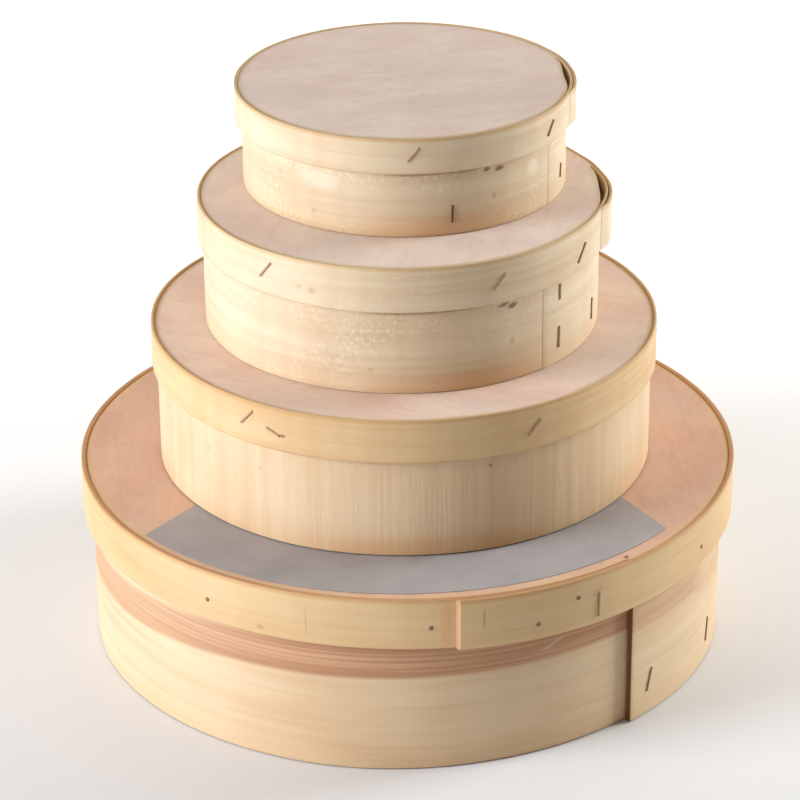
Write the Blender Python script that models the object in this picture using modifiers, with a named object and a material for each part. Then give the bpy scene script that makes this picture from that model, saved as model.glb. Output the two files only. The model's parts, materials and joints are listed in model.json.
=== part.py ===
"""Four round bentwood cheese boxes with lids, stacked by size, the largest at the bottom.

A box body is a strip of bent veneer, lapped over its own end, round a bottom board. A lid is a wider
and lower strip round a lid board, and its skirt slides down over the body. Wire staples hold the laps
and the boards. The largest lid also has a lining strip, held by small tacks.

Metres, +Z up. The front is -Y. An azimuth is in degrees round a hoop, from the front towards +X.
"""

import math

import bmesh
import bpy
from mathutils import Matrix, Vector

# ---- driving dimensions -------------------------------------------------------------------------

GAP = 0.0003  # between pieces that touch
BOARD = 0.008  # thickness of every bottom board and lid board
SKIVE = 0.0025  # length over which a strip's outer end is pared thin
PARED_OFF = 0.75  # share of the thickness that paring takes off at the very end

WIRE = 0.0010  # diameter of the staple wire
WIRE_IN_BOARD = 0.005  # how deep a staple leg goes into the edge of a board
WIRE_CORNER = 0.0006  # size of the bend between a staple's crown and its legs
HOLE_SIDES = 8
HOLE_ABOVE = 0.002  # how far a hole's cutter starts outside the wood

TACK_HEAD = 0.0026  # diameter of a tack's head
TACK_HEAD_THICKNESS = 0.0005
TACK_SHANK = 0.0012  # diameter of a tack's shank
TACK_DOME = (0.7, 0.8)  # the dome's shoulder, as shares of the head's radius and thickness
TACK_SIDES = 10
BOARD_TACK_LENGTH = 0.0064

LINING = 0.0012  # thickness of the strip inside the largest lid's own strip
LINING_CLEAR_OF_LAP = 4.0  # degrees between either end of the lining and the lap
LINING_ABOVE_SKIRT = 0.001  # how far the lining stops short of the skirt's lower edge

LABEL_THICKNESS = 0.0003
LABEL_RADIUS = 0.1728  # of its front edge
LABEL_CENTRE = (-0.0025, 0.0014)  # of that edge: the label was stuck on a little off centre
LABEL_SIDES_MEET = (0.0152, 0.1045)  # the point that both side edges aim at
LABEL_SIDES = (-36.0, 30.0)  # degrees between the front and its left and right edges, from that point
LABEL_BACK_RADIUS = 0.112  # of its back edge, which the box above covers
LABEL_STEPS = 24  # straight pieces in each of its two arcs

SMOOTH_UNDER = 35.0  # degrees between two faces that are shaded as one


class Strip:
    """A bent strip of veneer: how far its two faces stand from the hoop's axis along its length.

    The strip starts at its outer end, at azimuth `start`, goes once round towards +X, and then runs
    on for `lap` degrees underneath its own start, to its inner end. `along` counts degrees from the
    outer end.
    """

    def __init__(self, radius, thickness, start, lap, centre=(0, 0), tip=None, **bends):
        self.radius = radius  # of the outer face, away from the lap
        self.thickness = thickness
        self.start = start
        self.lap = lap
        self.centre = centre
        self.tip = thickness if tip is None else tip  # thickness left at the inner end
        self.dip = bends.get("dip", 0.0)  # how far the inner end sinks in
        self.run_in = bends.get("run_in", 40.0)  # degrees over which it sinks
        self.run_out = bends.get("run_out", 30.0)  # degrees after the lap to be round again
        self.spring = bends.get("spring", 0.0)  # how far the outer end springs open
        self.bulge = bends.get("bulge", 0.0)  # how far both layers stand out at the middle of the lap
        self.flat = bends.get("flat", 0.0)  # how far the board falls short of its round there
        self.pared = bends.get("pared", True)

    @property
    def end(self):
        return 360.0 + self.lap

    def wood(self, along):
        """Thickness of the strip."""
        if along > 360.0:
            return self.thickness + (self.tip - self.thickness) * (along - 360.0) / self.lap
        return self.thickness

    def swell(self, along):
        """0 away from the lap, rising to 1 at the middle of its under layer."""
        return math.sin(math.pi * max(along - 360.0, 0.0) / self.lap) ** 2

    def inner(self, along):
        """Radius of the inner face."""
        plain = self.radius - self.thickness
        if along > self.lap + self.run_out:
            sunk = self.dip * ease((along - 360.0 + self.run_in) / self.run_in)
            return plain - sunk + self.bulge * self.swell(along)
        over = min(along, self.lap)
        sprung = self.spring * (1.0 - over / self.lap) ** 2
        top_layer = self.outer(360.0 + over) + GAP + sprung
        return top_layer + (plain - top_layer) * ease((along - self.lap) / self.run_out)

    def outer(self, along):
        """Radius of the outer face."""
        return self.inner(along) + self.wood(along)

    def outside(self, azimuth):
        """Radius of the outermost face at an azimuth."""
        return self.outer((azimuth - self.start) % 360.0)

    def inmost(self, azimuth):
        """The place along the strip of its innermost layer at an azimuth."""
        along = (azimuth - self.start) % 360.0
        return along + 360.0 if along < self.lap else along

    def inside(self, azimuth):
        """Radius of the innermost face at an azimuth."""
        return self.inner(self.inmost(azimuth))

    def room(self, azimuth):
        """Radius that a board can have at an azimuth: the strip's inside, less the gap at its lap."""
        return self.inside(azimuth) - (self.bulge + self.flat) * self.swell(self.inmost(azimuth))

    def point(self, radius, azimuth, height):
        turn = math.radians(azimuth)
        x = self.centre[0] + radius * math.sin(turn)
        y = self.centre[1] - radius * math.cos(turn)
        return Vector((x, y, height))


class Box:
    """One box with its lid: where it stands, its heights, and its two strips."""

    def __init__(self, name, height, skirt, recess, centre, sides, crown, body, lid):
        self.name = name
        self.height = height  # from the resting face to the rim of the lid
        self.skirt = skirt  # height of the lid's strip
        self.recess = recess  # how far the lid board lies below the rim
        self.body = Strip(centre=centre, **body)
        self.lid = Strip(centre=centre, **lid)
        self.sides = sides  # of the polygon that stands for a round strip
        self.crown = crown  # length of a staple's crown
        self.bottom = 0.0

    @property
    def rim(self):
        return self.bottom + self.height

    @property
    def board_top(self):
        return self.rim - self.recess

    @property
    def body_top(self):
        return self.board_top - BOARD - GAP


def ease(share):
    """Smooth step from 0 to 1."""
    share = min(max(share, 0.0), 1.0)
    return share * share * (3.0 - 2.0 * share)


LARGEST = Box(
    "largest", height=0.1035, skirt=0.0287, recess=0.0009, centre=(0.0, 0.0), sides=96, crown=0.0136,
    body=dict(radius=0.1748, thickness=0.0038, start=42.4, lap=44.0, dip=0.0053, run_in=62.0,
              spring=0.0004, pared=False),
    lid=dict(radius=0.1800, thickness=0.0028, start=7.6, lap=32.0, tip=0.0008),
)
LARGE = Box(
    "large", height=0.0788, skirt=0.0245, recess=0.0011, centre=(-0.0014, 0.0019), sides=80, crown=0.0122,
    body=dict(radius=0.1346, thickness=0.0018, start=148.0, lap=34.0, tip=0.0005, dip=0.0015),
    lid=dict(radius=0.1375, thickness=0.0018, start=170.0, lap=30.0, tip=0.0005),
)
MEDIUM = Box(
    "medium", height=0.0710, skirt=0.0248, recess=0.0006, centre=(-0.0022, 0.0051), sides=72, crown=0.0118,
    body=dict(radius=0.1070, thickness=0.0017, start=43.0, lap=36.0, tip=0.0004, dip=0.0015),
    lid=dict(radius=0.1096, thickness=0.0018, start=74.0, lap=33.0, tip=0.0010, run_out=12.0, spring=0.0008,
             bulge=0.0014, flat=0.0018),
)
SMALL = Box(
    "small", height=0.0554, skirt=0.0195, recess=0.0006, centre=(-0.0004, 0.0247), sides=64, crown=0.0094,
    body=dict(radius=0.0873, thickness=0.0016, start=60.0, lap=36.0, tip=0.0004, dip=0.0012),
    lid=dict(radius=0.0911, thickness=0.0018, start=75.0, lap=36.0, tip=0.0010, run_out=12.0, dip=0.0005,
             run_in=20.0, flat=0.0028),
)
BOXES = (LARGEST, LARGE, MEDIUM, SMALL)

for below, above in zip(BOXES, BOXES[1:]):
    under_label = LABEL_THICKNESS + GAP if below is LARGEST else 0.0
    above.bottom = below.board_top + GAP + under_label

# Every staple: azimuth, height of the crown's middle, and the crown's lean from upright, in degrees
# towards +X at its top. Heights on a lid count down from its rim, heights on a body up from its foot.
LID_STAPLES = {
    "largest": ((32.5, 0.0176, 0.0),),
    "large": ((-36.3, 0.0097, 47.0), (29.0, 0.0124, 46.0), (-29.4, 0.0141, -74.0), (92.0, 0.0105, 45.0),
              (182.0, 0.0115, 0.0), (-98.0, 0.0105, 45.0)),
    "medium": ((-40.0, 0.0107, 40.0), (27.0, 0.0127, 45.0), (59.0, 0.0144, 42.0), (118.0, 0.0110, 42.0),
               (-170.0, 0.0110, 42.0), (-105.0, 0.0110, 42.0)),
    "small": ((2.5, 0.0086, 39.0), (57.0, 0.0101, 39.0), (128.0, 0.0090, 40.0), (-130.0, 0.0090, 40.0)),
}
BODY_STAPLES = {
    "largest": ((47.2, 0.0204, 16.0), (69.8, 0.0179, 14.0), (56.0, 0.0840, 0.0), (74.0, 0.0840, 0.0),
                (150.0, 0.0112, 0.0), (-118.0, 0.0112, 0.0)),
    "large": ((154.0, 0.0180, 0.0), (154.0, 0.0440, 0.0), (-100.0, 0.0098, 0.0)),
    "medium": ((50.0, 0.0402, 0.0), (49.8, 0.0146, 2.0), (71.3, 0.0150, 4.0), (-150.0, 0.0096, 0.0)),
    "small": ((16.2, 0.0114, 1.0), (70.7, 0.0136, 8.0), (-140.0, 0.0090, 0.0)),
}
SHORT_CROWNS = {("medium_body", 1): 0.0088, ("small_body", 2): 0.0076, ("large_lid", 3): 0.0096}

# Every tack of the largest lid: azimuth and depth below the rim.
LINING_TACKS = ((-35.2, 0.0167), (3.5, 0.0162), (21.2, 0.0199), (28.5, 0.0104), (59.8, 0.0184),
                (110.0, 0.0170), (175.0, 0.0170), (-120.0, 0.0170))
BOARD_TACK = (40.0, 0.1750)  # azimuth and distance from the axis of the one driven down into the board

# ---- materials ----------------------------------------------------------------------------------

FINISHES = {
    "strip_wood": ((0.83, 0.66, 0.44), 0.62, 0.0),
    "board_wood": ((0.77, 0.58, 0.47), 0.68, 0.0),
    "label_paper": ((0.40, 0.37, 0.35), 0.85, 0.0),
    "steel_wire": ((0.23, 0.17, 0.12), 0.50, 0.9),
}


def material(name):
    """The named finish as a Principled material, made once."""
    if name in bpy.data.materials:
        return bpy.data.materials[name]
    colour, roughness, metallic = FINISHES[name]
    made = bpy.data.materials.new(name)
    made.use_nodes = True
    shader = made.node_tree.nodes["Principled BSDF"]
    shader.inputs["Base Color"].default_value = (*colour, 1.0)
    shader.inputs["Roughness"].default_value = roughness
    shader.inputs["Metallic"].default_value = metallic
    made.diffuse_color = (*colour, 1.0)
    return made


# ---- objects and collections --------------------------------------------------------------------

def clear_scene():
    for obj in list(bpy.data.objects):
        bpy.data.objects.remove(obj)


def new_collection(name):
    made = bpy.data.collections.new(name)
    bpy.context.scene.collection.children.link(made)
    return made


def object_of(name, data, collection, finish, place=None):
    data.materials.append(material(finish))
    made = bpy.data.objects.new(name, data)
    if place is not None:
        made.matrix_world = place
    collection.objects.link(made)
    return made


def mesh_of(name, built):
    """The bmesh as a mesh, smooth except at its corners."""
    mesh = bpy.data.meshes.new(name)
    built.to_mesh(mesh)
    built.free()
    mesh.shade_smooth()
    mesh.set_sharp_from_angle(angle=math.radians(SMOOTH_UNDER))
    return mesh


def cut(target, cutter):
    hole = target.modifiers.new("cut_" + cutter.name, "BOOLEAN")
    hole.operation = "DIFFERENCE"
    hole.solver = "EXACT"
    hole.object = cutter


# ---- bent strips --------------------------------------------------------------------------------

def stations(strip, sides, first, last):
    """Evenly spaced places along a strip, with one more where a pared end has its full thickness."""
    count = round((last - first) * sides / 360.0)
    places = [first + (last - first) * step / count for step in range(count + 1)]
    if first == 0.0 and strip.pared:
        places.insert(1, math.degrees(SKIVE / strip.radius))
    return places


def standing_strip(name, low, high, places, outer, inner, point, collection):
    """A strip bent round a hoop: its outer face, extruded upwards, with Solidify for its thickness.

    `outer` and `inner` give the radii of its faces at each place, and `point` turns a radius, a place
    and a height into a point.
    """
    thickest = max(outer(place) - inner(place) for place in places)
    built = bmesh.new()
    share = built.verts.layers.deform.new()
    foot = []
    for place in places:
        foot.append(built.verts.new(point(outer(place), place, low)))
        foot[-1][share][0] = (outer(place) - inner(place)) / thickest
    edges = [built.edges.new(pair) for pair in zip(foot, foot[1:])]
    grown = bmesh.ops.extrude_edge_only(built, edges=edges)["geom"]
    head = [item for item in grown if isinstance(item, bmesh.types.BMVert)]
    bmesh.ops.translate(built, verts=head, vec=(0.0, 0.0, high - low))
    built.normal_update()
    built.faces.ensure_lookup_table()
    face = built.faces[0]
    outwards = face.calc_center_median() - point(0.0, 0.0, low)
    outwards.z = 0.0
    if face.normal.dot(outwards) < 0.0:
        bmesh.ops.reverse_faces(built, faces=built.faces)

    made = object_of(name, mesh_of(name, built), collection, "strip_wood")
    made.vertex_groups.new(name="thickness")
    shell = made.modifiers.new("thickness", "SOLIDIFY")
    shell.thickness = thickest
    shell.offset = -1.0
    shell.vertex_group = "thickness"
    return made


def hoop(name, strip, low, high, sides, collection):
    """A whole strip: once round and on under its own outer end."""
    paring = math.degrees(SKIVE / strip.radius)

    def outer(along):
        if strip.pared and along < paring:
            return strip.outer(along) - strip.thickness * PARED_OFF * (1.0 - along / paring)
        return strip.outer(along)

    def point(radius, along, height):
        return strip.point(radius, strip.start + along, height)

    places = stations(strip, sides, 0.0, strip.end)
    return standing_strip(name, low, high, places, outer, strip.inner, point, collection)


def lining(name, box, collection):
    """The strip inside the largest lid, from the inner end of the lid's own strip round to its lap."""
    strip = box.lid
    first = strip.lap + LINING_CLEAR_OF_LAP
    last = 360.0 - LINING_CLEAR_OF_LAP

    def outer(along):
        return strip.inner(along) - GAP

    def inner(along):
        return outer(along) - LINING

    def point(radius, along, height):
        return strip.point(radius, strip.start + along, height)

    places = stations(strip, box.sides, first, last)
    low = box.rim - box.skirt + LINING_ABOVE_SKIRT
    high = box.board_top - BOARD - GAP
    return standing_strip(name, low, high, places, outer, inner, point, collection)


def board(name, strip, low, sides, collection):
    """A board cut to the inside of a strip, with the usual gap, and a wider one where the lap bulges."""
    built = bmesh.new()
    rim = []
    for side in range(sides):
        azimuth = strip.start + 360.0 * (side + 0.5) / sides
        nearest = min(strip.room(azimuth + turn) for turn in (-360.0 / sides, 0.0, 360.0 / sides))
        flat = nearest * math.cos(math.pi / sides)  # the strip's own sides are flat, so it is nearer there
        rim.append(built.verts.new(strip.point(flat - GAP, azimuth, low)))
    face = built.faces.new(rim)
    raised = bmesh.ops.extrude_face_region(built, geom=[face])["geom"]
    top = [item for item in raised if isinstance(item, bmesh.types.BMVert)]
    bmesh.ops.translate(built, verts=top, vec=(0.0, 0.0, BOARD))
    bmesh.ops.recalc_face_normals(built, faces=built.faces)
    return object_of(name, mesh_of(name, built), collection, "board_wood")


# ---- staples and tacks --------------------------------------------------------------------------

def frame_on(strip, azimuth, height, lean, proud):
    """The place of a fastener on a strip: its X along the crown, its Z straight out of the wood."""
    turn = math.radians(azimuth)
    out = Vector((math.sin(turn), -math.cos(turn), 0.0))
    across = Vector((math.cos(turn), math.sin(turn), 0.0))
    tilt = math.radians(lean)
    crown = Vector((0.0, 0.0, 1.0)) * math.cos(tilt) + across * math.sin(tilt)
    side = out.cross(crown)
    origin = strip.point(strip.outside(azimuth) + proud, azimuth, height)
    return Matrix.Translation(origin) @ Matrix((crown, side, out)).transposed().to_4x4()


def staple_curve(name, crown, lower_leg, upper_leg):
    """A bent wire: a straight crown along X, with a leg down -Z at each end."""
    half = crown / 2.0
    path = (
        (-half, -lower_leg), (-half, -WIRE_CORNER), (-half + WIRE_CORNER, 0.0),
        (half - WIRE_CORNER, 0.0), (half, -WIRE_CORNER), (half, -upper_leg),
    )
    curve = bpy.data.curves.new(name, "CURVE")
    curve.dimensions = "3D"
    curve.bevel_depth = WIRE / 2.0
    curve.bevel_resolution = 0
    curve.use_fill_caps = True
    wire = curve.splines.new("POLY")
    wire.points.add(len(path) - 1)
    for point, (x, z) in zip(wire.points, path):
        point.co = (x, 0.0, z, 1.0)
    return curve


def add_hole(cutters, place, x, depth, diameter):
    """Adds one leg hole to a cutter: a short rod from above the surface down to a depth."""
    rod = Matrix.Translation((x, 0.0, (HOLE_ABOVE - depth) / 2.0))
    bmesh.ops.create_cone(
        cutters, cap_ends=True, segments=HOLE_SIDES, radius1=diameter / 2.0, radius2=diameter / 2.0,
        depth=HOLE_ABOVE + depth, matrix=place @ rod,
    )


def staple(name, strip, azimuth, height, lean, crown, edge_of_board, collection, cutters):
    """One staple. A leg whose height is within a board's edge runs into the board."""
    proud = WIRE / 2.0 + GAP
    place = frame_on(strip, azimuth, height, lean, proud)
    # Both layers, where a lap is underneath; elsewhere the one strip.
    wood = strip.outside(azimuth) - strip.inside(azimuth)
    legs = []
    for end in (-1.0, 1.0):
        x = end * crown / 2.0
        z = (place @ Vector((x, 0.0, 0.0))).z
        in_board = edge_of_board[0] + WIRE < z < edge_of_board[1] - WIRE
        legs.append(proud + wood + (WIRE_IN_BOARD if in_board else 0.0))
        add_hole(cutters, place, x, legs[-1] + GAP, WIRE + 2.0 * GAP)
    return object_of(name, staple_curve(name, crown, *legs), collection, "steel_wire", place)


def tack_mesh(name, length):
    """A turned tack: a low domed head on a straight shank, as a profile turned round its axis."""
    head = TACK_HEAD / 2.0
    shank = TACK_SHANK / 2.0
    profile = (
        (0.0, TACK_HEAD_THICKNESS), (head * TACK_DOME[0], TACK_HEAD_THICKNESS * TACK_DOME[1]), (head, 0.0),
        (shank, 0.0), (shank, shank - length), (0.0, -length),
    )
    mesh = bpy.data.meshes.new(name)
    edges = [(index, index + 1) for index in range(len(profile) - 1)]
    mesh.from_pydata([(x, 0.0, z) for x, z in profile], edges, [])
    return mesh


def tack(name, place, length, collection, cutters):
    made = object_of(name, tack_mesh(name, length), collection, "steel_wire", place)
    turned = made.modifiers.new("turned", "SCREW")
    turned.axis = "Z"
    turned.steps = TACK_SIDES
    turned.render_steps = TACK_SIDES
    turned.use_merge_vertices = True
    turned.merge_threshold = 0.00001
    turned.use_smooth_shade = True
    add_hole(cutters, place, 0.0, length + GAP, TACK_SHANK + 2.0 * GAP)
    return made


def cutter_object(name, built, collection):
    mesh = bpy.data.meshes.new(name)
    built.to_mesh(mesh)
    built.free()
    made = bpy.data.objects.new(name, mesh)
    made.display_type = "WIRE"
    made.hide_render = True
    collection.objects.link(made)
    return made


def staples(box, part, strip, table, edge_of_board, collection, cutters):
    """All the staples of one strip. A lid's heights count down from its rim."""
    label = f"{box.name}_{part}"
    for number, (azimuth, height, lean) in enumerate(table, start=1):
        crown = SHORT_CROWNS.get((label, number), box.crown)
        middle = box.rim - height if part == "lid" else box.bottom + height
        name = f"{label}_staple_{number}"
        staple(name, strip, azimuth, middle, lean, crown, edge_of_board, collection, cutters)


# ---- label --------------------------------------------------------------------------------------

def label(name, box, collection):
    """A blank paper label: arcs in front and behind, and two straight sides that converge."""
    meet = Vector(LABEL_SIDES_MEET)
    low = box.board_top + GAP

    def on_ray(centre, radius, angle):
        """Where the ray from the meeting point, at this angle from the front, crosses a circle."""
        ray = Vector((math.sin(angle), -math.cos(angle)))
        to_centre = Vector(centre) - meet
        reach = to_centre.dot(ray)
        return meet + ray * (reach + math.sqrt(reach * reach - to_centre.length_squared + radius * radius))

    steps = range(LABEL_STEPS + 1)
    left, right = (math.radians(side) for side in LABEL_SIDES)
    angles = [left + (right - left) * step / LABEL_STEPS for step in steps]
    outline = [on_ray(LABEL_CENTRE, LABEL_RADIUS, angle) for angle in angles]
    outline += [on_ray(box.lid.centre, LABEL_BACK_RADIUS, angle) for angle in reversed(angles)]
    built = bmesh.new()
    face = built.faces.new([built.verts.new((point.x, point.y, low)) for point in outline])
    raised = bmesh.ops.extrude_face_region(built, geom=[face])["geom"]
    top = [item for item in raised if isinstance(item, bmesh.types.BMVert)]
    bmesh.ops.translate(built, verts=top, vec=(0.0, 0.0, LABEL_THICKNESS))
    bmesh.ops.recalc_face_normals(built, faces=built.faces)
    return object_of(name, mesh_of(name, built), collection, "label_paper")


# ---- boxes --------------------------------------------------------------------------------------

def build_body(box, parts, cutters):
    holes = bmesh.new()
    strip = box.body
    wall = hoop(f"{box.name}_body_hoop", strip, box.bottom, box.body_top, box.sides, parts)
    floor = board(f"{box.name}_bottom_board", strip, box.bottom, box.sides, parts)
    edge = (box.bottom, box.bottom + BOARD)
    staples(box, "body", strip, BODY_STAPLES[box.name], edge, parts, holes)
    cutter = cutter_object(f"{box.name}_body_leg_holes", holes, cutters)
    cut(wall, cutter)
    cut(floor, cutter)


def build_lid(box, parts, cutters):
    holes = bmesh.new()
    strip = box.lid
    wall = hoop(f"{box.name}_lid_hoop", strip, box.rim - box.skirt, box.rim, box.sides, parts)
    top = board(f"{box.name}_lid_board", strip, box.board_top - BOARD, box.sides, parts)
    pieces = [wall, top]
    edge = (box.board_top - BOARD, box.board_top)
    staples(box, "lid", strip, LID_STAPLES[box.name], edge, parts, holes)
    if box is LARGEST:
        pieces.append(lining(f"{box.name}_lid_lining", box, parts))
        for number, (azimuth, depth) in enumerate(LINING_TACKS, start=1):
            place = frame_on(strip, azimuth, box.rim - depth, 0.0, GAP)
            wood = strip.outside(azimuth) - strip.inside(azimuth)
            tack(f"{box.name}_lid_tack_{number}", place, GAP + wood + GAP + LINING, parts, holes)
        azimuth, reach = BOARD_TACK
        place = Matrix.Translation(strip.point(reach, azimuth, box.board_top + GAP))
        tack(f"{box.name}_lid_board_tack", place, BOARD_TACK_LENGTH, parts, holes)
        label(f"{box.name}_lid_label", box, parts)
    cutter = cutter_object(f"{box.name}_lid_leg_holes", holes, cutters)
    for piece in pieces:
        cut(piece, cutter)


def main():
    clear_scene()
    parts = new_collection("cheese_boxes")
    cutters = new_collection("cutters")
    for box in BOXES:
        build_body(box, parts, cutters)
        build_lid(box, parts, cutters)


main()
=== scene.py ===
"""The looks of four stacked bentwood cheese boxes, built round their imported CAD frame.

Every strip, board, staple, tack and the label is made again as a finer mesh in the place of its CAD
node: rounded and worn edges, pared lap ends, a slight waviness, pressed wire staples. The materials
are procedural: peeled veneer, sawn boards, dull steel wire and grey paper.

Metres, +Z up. The front is -Y. An azimuth is in degrees round a hoop, from the front towards +X.
"""

import json
import math

import bmesh
import bpy
from mathutils import Matrix, Vector, noise

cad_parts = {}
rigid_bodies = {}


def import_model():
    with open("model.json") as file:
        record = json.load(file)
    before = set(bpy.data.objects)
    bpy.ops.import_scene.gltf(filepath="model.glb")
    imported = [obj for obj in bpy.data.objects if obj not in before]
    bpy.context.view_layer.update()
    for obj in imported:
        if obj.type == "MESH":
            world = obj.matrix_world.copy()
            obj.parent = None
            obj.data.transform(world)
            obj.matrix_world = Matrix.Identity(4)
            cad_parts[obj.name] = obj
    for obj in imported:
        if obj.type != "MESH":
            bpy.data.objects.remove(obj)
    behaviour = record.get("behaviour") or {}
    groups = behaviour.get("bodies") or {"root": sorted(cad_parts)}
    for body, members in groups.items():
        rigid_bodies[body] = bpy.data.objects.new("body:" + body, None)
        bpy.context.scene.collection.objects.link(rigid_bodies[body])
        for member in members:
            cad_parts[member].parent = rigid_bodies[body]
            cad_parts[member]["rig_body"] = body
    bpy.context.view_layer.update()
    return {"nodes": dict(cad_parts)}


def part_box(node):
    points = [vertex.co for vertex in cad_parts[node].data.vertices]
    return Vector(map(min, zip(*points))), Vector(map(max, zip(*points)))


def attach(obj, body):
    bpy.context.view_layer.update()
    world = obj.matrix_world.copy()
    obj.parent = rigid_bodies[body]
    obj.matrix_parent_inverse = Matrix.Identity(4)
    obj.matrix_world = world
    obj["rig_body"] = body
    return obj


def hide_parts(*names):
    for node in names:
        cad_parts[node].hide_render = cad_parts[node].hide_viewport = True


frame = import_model()

# ---- the bends of the strips --------------------------------------------------------------------

# They are those of the CAD, except that pared ends are finer and lie closer, and that the inner ends
# of the medium and small bodies sink later.

GAP = 0.0003  # between pieces that touch
CLOSED_GAP = 0.06  # share of the gap that is left at the tip of a pared end


def ease(share):
    """Smooth step from 0 to 1."""
    share = min(max(share, 0.0), 1.0)
    return share * share * (3.0 - 2.0 * share)


class Strip:
    """A bent strip: how far its two faces stand from the hoop's axis along its length.

    It starts at its outer end, at azimuth `start`, goes once round towards +X, and runs on for `lap`
    degrees underneath its own start. `along` counts degrees from the outer end.
    """

    def __init__(self, radius, thickness, start, lap, tip=None, dip=0.0, run_in=40.0, run_out=30.0,
                 late=0.0, spring=0.0, bulge=0.0, flat=0.0, pared=True, skive=0.009, thinned=0.93):
        self.radius = radius  # of the outer face, away from the lap
        self.thickness = thickness
        self.start = start
        self.lap = lap
        self.tip = thickness if tip is None else tip  # thickness left at the inner end
        self.dip = dip  # how far the inner end sinks in, over `run_in` degrees
        self.run_in = run_in
        self.late = late  # degrees into the lap at which it has sunk, under the pared outer end
        self.run_out = run_out  # degrees after the lap to be round again
        self.spring = spring  # how far the outer end springs open
        self.bulge = bulge  # how far both layers stand out at the middle of the lap
        self.flat = flat  # how far the board falls short of its round there
        self.pared = pared  # whether the outer end is pared thin: over what length, and by what share
        self.skive = skive
        self.thinned = thinned
        self.end = 360.0 + lap

    def wood(self, along):
        """Thickness of the strip, apart from the paring at its outer end."""
        return self.thickness + (self.tip - self.thickness) * max(along - 360.0, 0.0) / self.lap

    def swell(self, along):
        """0 away from the lap, rising to 1 at the middle of its under layer."""
        return math.sin(math.pi * max(along - 360.0, 0.0) / self.lap) ** 2

    def inner(self, along):
        """Radius of the inner face."""
        plain = self.radius - self.thickness
        if along > self.lap + self.run_out:
            sunk = self.dip * ease((along - 360.0 - self.late + self.run_in) / self.run_in)
            return plain - sunk + self.bulge * self.swell(along)
        over = min(along, self.lap)
        gap = GAP + self.spring * (1.0 - over / self.lap) ** 2
        if self.pared:  # its thin end lies close
            opening = ease(over * math.radians(self.radius) / self.skive)
            gap *= CLOSED_GAP + (1.0 - CLOSED_GAP) * opening
        top_layer = self.outer(360.0 + over) + gap
        return top_layer + (plain - top_layer) * ease((along - self.lap) / self.run_out)

    def outer(self, along):
        """Radius of the outer face, before paring."""
        return self.inner(along) + self.wood(along)

    def pared_outer(self, along):
        paring = math.degrees(self.skive / self.radius)
        if self.pared and along < paring:
            return self.outer(along) - self.thickness * self.thinned * (1.0 - along / paring)
        return self.outer(along)

    def room(self, azimuth):
        """Radius that a board can have at an azimuth."""
        along = (azimuth - self.start) % 360.0
        along = along + 360.0 if along < self.lap else along
        return self.inner(along) - (self.bulge + self.flat) * self.swell(along)


class Box:
    """One box: its axis, its two strips, and its heights, which are read from the frame."""

    def __init__(self, name, centre, body, lid):
        self.name = name
        self.centre = centre
        self.strips = {"body": body, "lid": lid}

    def heights(self, node):
        low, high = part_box(f"{self.name}_{node}")
        return low.z, high.z

    def point(self, radius, azimuth, height):
        turn = math.radians(azimuth)
        x = self.centre[0] + radius * math.sin(turn)
        y = self.centre[1] - radius * math.cos(turn)
        return Vector((x, y, height))


BOXES = (
    Box("largest", (0.0, 0.0),
        Strip(0.1748, 0.0038, 42.4, 44.0, dip=0.0053, run_in=62.0, spring=0.0004, pared=False),
        Strip(0.1800, 0.0028, 7.6, 32.0, tip=0.0008, skive=0.0016, thinned=0.55)),
    Box("large", (-0.0014, 0.0019),
        Strip(0.1346, 0.0018, 148.0, 34.0, tip=0.0005, dip=0.0015),
        Strip(0.1375, 0.0018, 170.0, 30.0, tip=0.0005)),
    Box("medium", (-0.0022, 0.0051),
        Strip(0.1070, 0.0017, 43.0, 36.0, tip=0.0004, dip=0.0015, run_in=7.0, late=7.0, skive=0.012),
        Strip(0.1096, 0.0018, 74.0, 33.0, tip=0.0010, run_out=12.0, spring=0.0008, bulge=0.0014,
              flat=0.0018)),
    Box("small", (-0.0004, 0.0247),
        Strip(0.0873, 0.0016, 60.0, 36.0, tip=0.0004, dip=0.0012, run_in=7.0, late=7.0, skive=0.010),
        Strip(0.0911, 0.0018, 75.0, 36.0, tip=0.0010, run_out=12.0, dip=0.0005, run_in=20.0, flat=0.0028)),
)
LARGEST = BOXES[0]

# ---- shape details ------------------------------------------------------------------------------

STEP = 1.25  # degrees between two places along a strip
ROWS = 14  # of faces up each side of a strip
ROUNDING = 0.0007  # of a strip's long edges
END_ROUNDING = 0.0004  # of its two ends
END_BEVEL = 0.002  # a paring shorter than this shows as a cut face
WAVE = 0.00035  # how far a strip strays from a true hoop
RIM_WEAR = 0.00020  # unevenness of its long edges
SETTLED = 0.00027  # how far a box sinks towards the lid that it stands on
BOARD_SIDES = 288  # of the polygon that stands for a round board
BOARD_RINGS = (0.12, 0.3, 0.5, 0.68, 0.82, 0.92, 0.97)  # of points, as shares of its radius
BOARD_ROUNDING = 0.0004  # of its edges
BOARD_GAP = 0.00012  # between a board and the strip round it
BOARD_WARP = 0.00015  # how far a lid board is out of flat
THIN_END = 0.0006  # an end thinner than this shows no cut face
CUT_FACE = 0.6  # share of the end rounding from which a point counts as on the cut face
MOST_INSET = 0.3  # the most that an end's rounding takes off each face, as a share of the thickness
MOST_ROUNDING = 0.42  # the most that a long edge is rounded, as a share of the thickness
SEED_PER_METRE = 90.0  # makes a hoop's height into the seed of its wear
LINING_SEED = 3.0

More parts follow.
